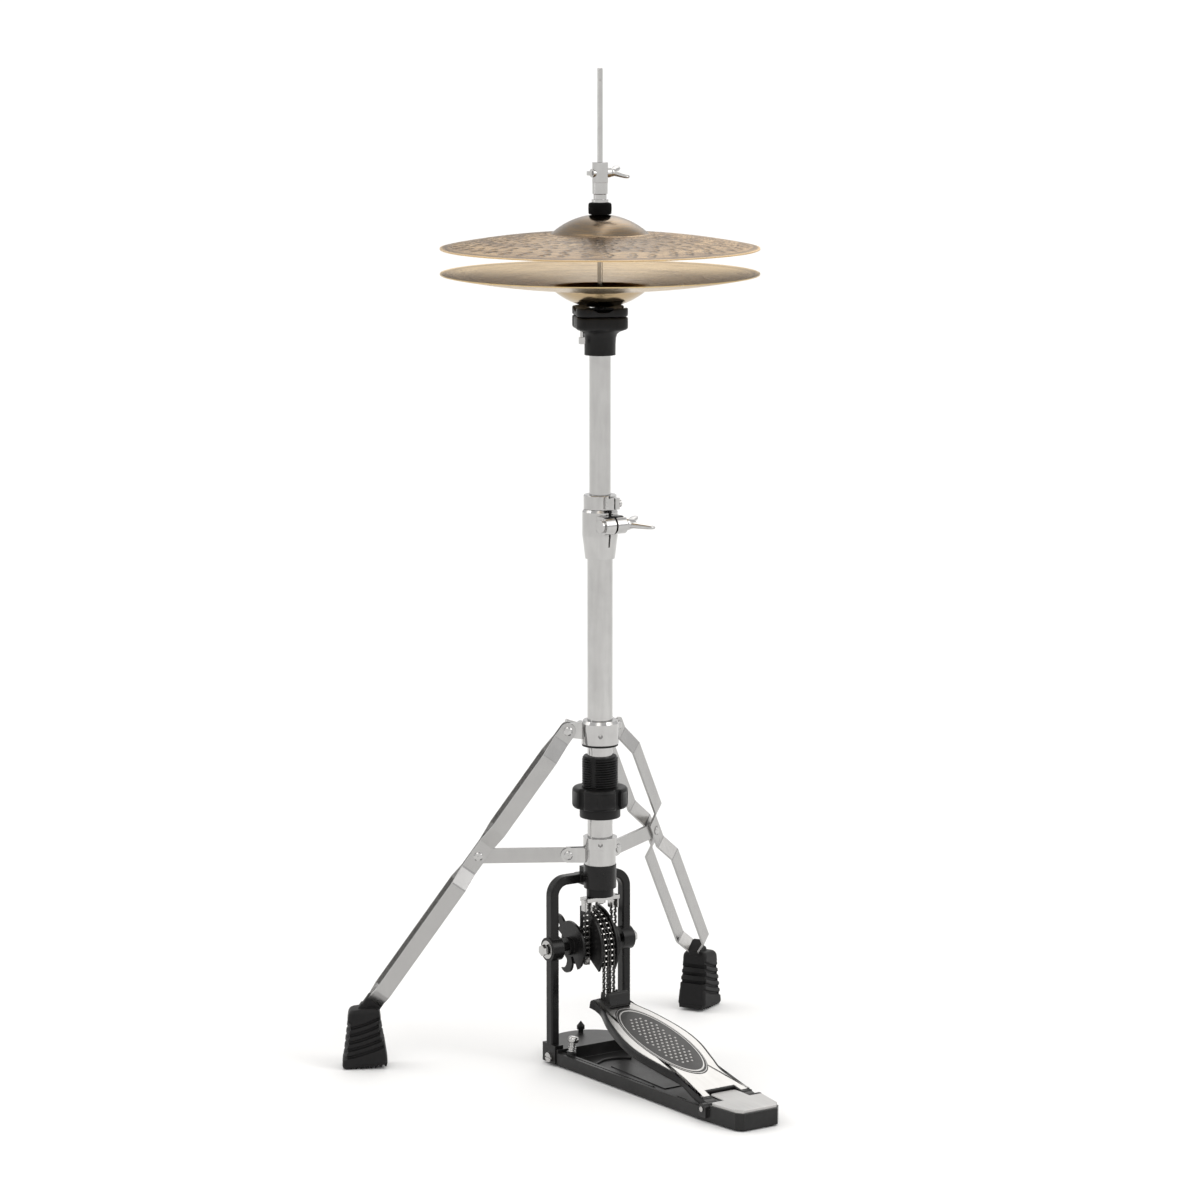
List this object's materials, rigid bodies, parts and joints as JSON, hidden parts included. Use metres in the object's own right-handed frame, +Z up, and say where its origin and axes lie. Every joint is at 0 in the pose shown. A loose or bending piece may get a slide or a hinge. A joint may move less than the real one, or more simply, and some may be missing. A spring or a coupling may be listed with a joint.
{
  "type": "hi hat",
  "caption": "Pedal-driven hi-hat: a folding stand with a chain-drive footboard, pull rod and clutch, and facing bronze cymbals that close together.",
  "frame": {"origin": "on the floor, directly under the axis of the upright tube", "axes": "+Z up along the tube; the pedal's heel points to -Y; the legs spread towards +Y; +X is to the right seen from the heel"},
  "size_m": [0.5262, 0.4938, 1.131],
  "materials": {
    "bright_chrome": "polished chrome plating",
    "satin_chrome": "duller plating on bent and stamped steel",
    "satin_metal": "fine linear brushing with a soft sheen",
    "black_casting": "smooth semi-gloss black paint over a casting",
    "grey_casting": "dark grey paint over a slightly grainy casting",
    "chain_steel": "blackened links with bright pin ends",
    "spring_steel": "bare spring wire",
    "black_plastic": "moulded black nylon, slightly glossy on edges",
    "badge": "dark grained inlay with two thin bright outlines",
    "black_rubber": "moulded black rubber",
    "black_felt": "dense pressed felt",
    "aged_bronze": "lathed and hammered bronze with brown toning",
    "lathed_bronze": "finely lathed bronze"
  },
  "bodies": {
    "stand": {"base_plate": "grey_casting", "floor_pad": "black_rubber", "heel_plate": "satin_metal", "heel_hinge_pin": "bright_chrome", "pedal_frame": "black_casting", "shaft_bearings": "bright_chrome", "frame_bolts": "bright_chrome", "tube_bushings": "black_plastic", "lower_tube": "bright_chrome", "height_clamp": "bright_chrome", "clamp_bolt": "bright_chrome", "tension_sleeve": "black_plastic", "return_spring": "spring_steel"},
    "footboard": {"footboard": "satin_metal", "footboard_badge": "badge", "toe_clamp": "black_casting"},
    "drive_chain": {"drive_chain": "chain_steel"},
    "cams": {"cam_shaft": "black_casting", "chain_wheel": "black_casting", "side_cams": "black_casting", "chain_clips": "bright_chrome", "wheel_chain": "chain_steel"},
    "rod": {"lower_rod": "bright_chrome", "pull_rod": "bright_chrome", "chain_yoke": "bright_chrome", "side_chains": "chain_steel"},
    "spring_seat": {"spring_seat": "spring_steel"},
    "tension_knob": {"tension_knob": "black_plastic"},
    "leg_turret": {"lower_collar": "bright_chrome", "brace_rivets": "bright_chrome"},
    "leg_collar": {"upper_collar": "bright_chrome", "collar_ring": "black_plastic"},
    "leg_wing": {"leg_wing": "bright_chrome"},
    "left_leg": {"left_leg_straps": "satin_chrome", "left_leg_rivets": "bright_chrome", "left_foot": "black_rubber"},
    "right_leg": {"right_leg_straps": "satin_chrome", "right_leg_rivets": "bright_chrome", "right_foot": "black_rubber"},
    "left_brace": {"left_brace": "satin_chrome"},
    "right_brace": {"right_brace": "satin_chrome"},
    "rear_spur": {"rear_spur": "black_casting"},
    "side_spur": {"side_spur": "bright_chrome"},
    "clamp_wing": {"clamp_wing": "bright_chrome"},
    "upper_tube": {"upper_tube": "bright_chrome", "memory_lock": "bright_chrome", "drum_key_screws": "bright_chrome", "seat_base": "black_plastic", "rod_guide": "black_plastic"},
    "seat": {"seat_cup": "black_plastic", "seat_felt": "black_felt"},
    "bottom_cymbal": {"bottom_cymbal": "lathed_bronze"},
    "clutch": {"clutch_body": "bright_chrome", "clutch_sleeve": "bright_chrome", "clutch_top_nut": "bright_chrome", "clutch_bottom_nut": "black_casting", "clutch_key_screw": "bright_chrome"},
    "clutch_wing": {"clutch_wing": "bright_chrome"},
    "clutch_felts": {"clutch_felts": "black_felt"},
    "top_cymbal": {"top_cymbal": "aged_bronze"}
  },
  "joints": [
    {"name": "footboard_press", "type": "hinge", "parent": "stand", "child": "footboard", "pos_m": [0, -0.26, 0.015], "axis": [-1, 0, 0], "range_deg": [0, 10.35]},
    {"name": "rod_pull", "type": "slide", "parent": "stand", "child": "rod", "axis": [0, 0, -1], "range_m": [0, 0.026], "stiffness_N_per_m": 700, "springref_m": -0.05, "deforming": ["return_spring", "side_chains"]},
    {"name": "cam_turn", "type": "hinge", "parent": "stand", "child": "cams", "pos_m": [0, 0.024, 0.135], "axis": [1, 0, 0], "range_deg": [0, 61.5], "deforming": ["wheel_chain"]},
    {"name": "drive_chain_pivot", "type": "hinge", "parent": "footboard", "child": "drive_chain", "pos_m": [0, -0.01785, 0.07738], "axis": [1, 0, 0], "range_deg": [0, 16], "deforming": ["drive_chain"]},
    {"name": "tension_turn", "type": "hinge", "parent": "spring_seat", "child": "tension_knob", "pos_m": [0, 0, 0.306], "axis": [0, 0, 1], "range_deg": [-720, 720]},
    {"name": "spring_seat_slide", "type": "slide", "parent": "stand", "child": "spring_seat", "axis": [0, 0, 1], "range_m": [-0.0056, 0.0056]},
    {"name": "legs_swivel", "type": "hinge", "parent": "stand", "child": "leg_turret", "pos_m": [0, 0, 0.25], "axis": [0, 0, 1], "range_deg": [-25, 25]},
    {"name": "legs_fold", "type": "slide", "parent": "leg_turret", "child": "leg_collar", "axis": [0, 0, 1], "range_m": [0, 0.126]},
    {"name": "leg_wing_turn", "type": "hinge", "parent": "leg_collar", "child": "leg_wing", "pos_m": [0, 0.03, 0.387], "axis": [0, 1, 0], "range_deg": [0, 270]},
    {"name": "height_slide", "type": "slide", "parent": "stand", "child": "upper_tube", "axis": [0, 0, 1], "range_m": [0, 0.1]},
    {"name": "clamp_wing_turn", "type": "hinge", "parent": "stand", "child": "clamp_wing", "pos_m": [0.02, -0.026, 0.625], "axis": [1, 0, 0], "range_deg": [0, 270]},
    {"name": "seat_tilt", "type": "hinge", "parent": "upper_tube", "child": "seat", "pos_m": [0.024, 0, 0.858], "axis": [0, 1, 0], "range_deg": [0, 2.5]},
    {"name": "bottom_cymbal_spin", "type": "hinge", "parent": "seat", "child": "bottom_cymbal", "pos_m": [0, 0, 0.866], "axis": [0, 0, 1], "continuous": true},
    {"name": "clutch_slide", "type": "slide", "parent": "rod", "child": "clutch", "axis": [0, 0, 1], "range_m": [0, 0.1]},
    {"name": "top_rock", "type": "hinge", "parent": "clutch", "child": "clutch_felts", "pos_m": [0, 0, 0.969], "axis": [0, 1, 0], "range_deg": [0, 2.5]},
    {"name": "top_cymbal_spin", "type": "hinge", "parent": "clutch_felts", "child": "top_cymbal", "pos_m": [0, 0, 0.969], "axis": [0, 0, 1], "continuous": true},
    {"name": "clutch_wing_turn", "type": "hinge", "parent": "clutch", "child": "clutch_wing", "pos_m": [0.012, 0, 1.016], "axis": [1, 0, 0], "range_deg": [0, 270]},
    {"name": "rear_spur_turn", "type": "hinge", "parent": "stand", "child": "rear_spur", "pos_m": [0.011, 0.057, 0.01], "axis": [0, 0, 1], "continuous": true},
    {"name": "side_spur_turn", "type": "hinge", "parent": "stand", "child": "side_spur", "pos_m": [-0.042, -0.004, 0.016], "axis": [0.1736, 0, 0.9848], "continuous": true},
    {"name": "right_leg_hinge", "type": "hinge", "parent": "leg_collar", "child": "right_leg", "pos_m": [0.0317, 0.0183, 0.388], "axis": [-0.5, 0.866, 0], "range_deg": [0, 24.6]},
    {"name": "right_brace_hinge", "type": "hinge", "parent": "leg_turret", "child": "right_brace", "pos_m": [0.0317, 0.0183, 0.244], "axis": [0.5, -0.866, 0], "range_deg": [0, 71.2]},
    {"name": "left_leg_hinge", "type": "hinge", "parent": "leg_collar", "child": "left_leg", "pos_m": [-0.0317, 0.0183, 0.388], "axis": [-0.5, -0.866, 0], "range_deg": [0, 24.6]},
    {"name": "left_brace_hinge", "type": "hinge", "parent": "leg_turret", "child": "left_brace", "pos_m": [-0.0317, 0.0183, 0.244], "axis": [0.5, 0.866, 0], "range_deg": [0, 71.2]}
  ],
  "couplings": [
    {"joint": "rod_pull", "follows": "footboard_press", "m_per_rad": 0.14061},
    {"joint": "cam_turn", "follows": "footboard_press", "ratio": 5.859},
    {"joint": "drive_chain_pivot", "follows": "footboard_press", "ratio": 1.5},
    {"joint": "spring_seat_slide", "follows": "tension_turn", "m_per_rad": 0.000439},
    {"joint": "clutch_slide", "follows": "height_slide", "ratio": 1},
    {"joint": "top_rock", "follows": "seat_tilt", "ratio": 1},
    {"joint": "right_leg_hinge", "follows": "legs_fold", "rad_per_m": 3.402},
    {"joint": "right_brace_hinge", "follows": "legs_fold", "rad_per_m": 9.849},
    {"joint": "left_leg_hinge", "follows": "legs_fold", "rad_per_m": 3.402},
    {"joint": "left_brace_hinge", "follows": "legs_fold", "rad_per_m": 9.849}
  ]
}
